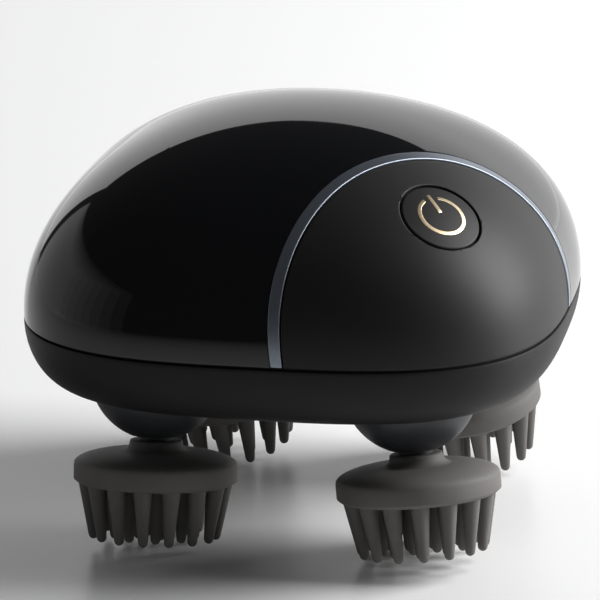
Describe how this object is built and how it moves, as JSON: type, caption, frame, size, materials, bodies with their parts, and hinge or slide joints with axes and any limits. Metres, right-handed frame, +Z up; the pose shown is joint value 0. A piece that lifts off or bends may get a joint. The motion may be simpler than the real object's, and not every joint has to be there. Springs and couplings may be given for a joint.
{
  "type": "electric scalp massager",
  "caption": "Cordless scalp massager: a rounded-square body with a gloss dome, a matte corner panel and power button, on leaning claw heads with soft prongs that turn together.",
  "frame": {"origin": "on the ground under the middle of the body, where the lowest prong tips stand", "axes": "+Z up through the dome's crown, -Y towards the front flat, +X to the right; the control panel and its button are on the corner between +X and -Y"},
  "size_m": [0.115, 0.115, 0.0906],
  "materials": {
    "gloss_black": "high-gloss piano black",
    "trim_metal": "satin blue-grey",
    "panel_black": "soft-touch matte",
    "button_black": "soft-touch matte",
    "symbol_gold": "champagne metallic",
    "shell_black": "fine matte",
    "claw_grey": "matte silicone",
    "foot_grey": "satin blue-grey",
    "core_grey": "moulded",
    "seal_black": "matte",
    "gear_white": "moulded acetal",
    "chassis_black": "moulded",
    "steel": "ground",
    "zinc_steel": "zinc plated",
    "bronze": "sintered",
    "cell_blue": "shrink sleeve",
    "board_green": "solder resist",
    "parts_black": "moulded"
  },
  "bodies": {
    "housing": {"upper_shell": "gloss_black", "trim_strip": "trim_metal", "control_panel": "panel_black", "tact_switch": "parts_black", "switch_board": "board_green", "switch_bracket": "chassis_black", "lower_shell": "shell_black", "seam_gasket": "seal_black", "chassis": "chassis_black", "gear_cover": "chassis_black", "centre_bushing": "bronze", "gearbox": "zinc_steel", "motor": "zinc_steel", "battery_cell": "cell_blue", "battery_holder": "parts_black", "main_board": "board_green", "board_parts": "parts_black", "charging_port": "zinc_steel", "port_board": "board_green", "case_screws": "zinc_steel", "gearbox_screws": "zinc_steel", "lower_bushing_fl": "bronze", "upper_bushing_fl": "bronze", "foot_seal_fl": "seal_black", "lower_bushing_fr": "bronze", "upper_bushing_fr": "bronze", "foot_seal_fr": "seal_black", "lower_bushing_bl": "bronze", "upper_bushing_bl": "bronze", "foot_seal_bl": "seal_black", "lower_bushing_br": "bronze", "upper_bushing_br": "bronze", "foot_seal_br": "seal_black"},
    "button": {"power_button": "button_black", "power_symbol": "symbol_gold", "button_seal": "seal_black", "switch_plunger": "gear_white"},
    "drive": {"sun_gear": "gear_white", "motor_shaft": "steel"},
    "head_fl": {"drive_foot_fl": "foot_grey", "crank_shaft_fl": "steel", "head_gear_fl": "gear_white", "claw_core_fl": "core_grey", "claw_fl": "claw_grey"},
    "head_fr": {"drive_foot_fr": "foot_grey", "crank_shaft_fr": "steel", "head_gear_fr": "gear_white", "claw_core_fr": "core_grey", "claw_fr": "claw_grey"},
    "head_bl": {"drive_foot_bl": "foot_grey", "crank_shaft_bl": "steel", "head_gear_bl": "gear_white", "claw_core_bl": "core_grey", "claw_bl": "claw_grey"},
    "head_br": {"drive_foot_br": "foot_grey", "crank_shaft_br": "steel", "head_gear_br": "gear_white", "claw_core_br": "core_grey", "claw_br": "claw_grey"}
  },
  "joints": [
    {"name": "button_press", "type": "slide", "parent": "housing", "child": "button", "axis": [-0.4031, 0.4031, -0.8216], "range_m": [0, 0.0005], "stiffness_N_per_m": 1200, "springref_m": -0.0005},
    {"name": "drive_spin", "type": "hinge", "parent": "housing", "child": "drive", "pos_m": [0, 0, 0.04301], "axis": [0, 0, 1], "continuous": true},
    {"name": "head_fl_spin", "type": "hinge", "parent": "housing", "child": "head_fl", "pos_m": [-0.027, -0.027, 0.04301], "axis": [0, 0, 1], "continuous": true},
    {"name": "head_fr_spin", "type": "hinge", "parent": "housing", "child": "head_fr", "pos_m": [0.027, -0.027, 0.04301], "axis": [0, 0, 1], "continuous": true},
    {"name": "head_bl_spin", "type": "hinge", "parent": "housing", "child": "head_bl", "pos_m": [-0.027, 0.027, 0.04301], "axis": [0, 0, 1], "continuous": true},
    {"name": "head_br_spin", "type": "hinge", "parent": "housing", "child": "head_br", "pos_m": [0.027, 0.027, 0.04301], "axis": [0, 0, 1], "continuous": true}
  ],
  "couplings": [
    {"joint": "head_fl_spin", "follows": "drive_spin", "ratio": -1.5},
    {"joint": "head_fr_spin", "follows": "drive_spin", "ratio": -1.5},
    {"joint": "head_bl_spin", "follows": "drive_spin", "ratio": -1.5},
    {"joint": "head_br_spin", "follows": "drive_spin", "ratio": -1.5}
  ]
}
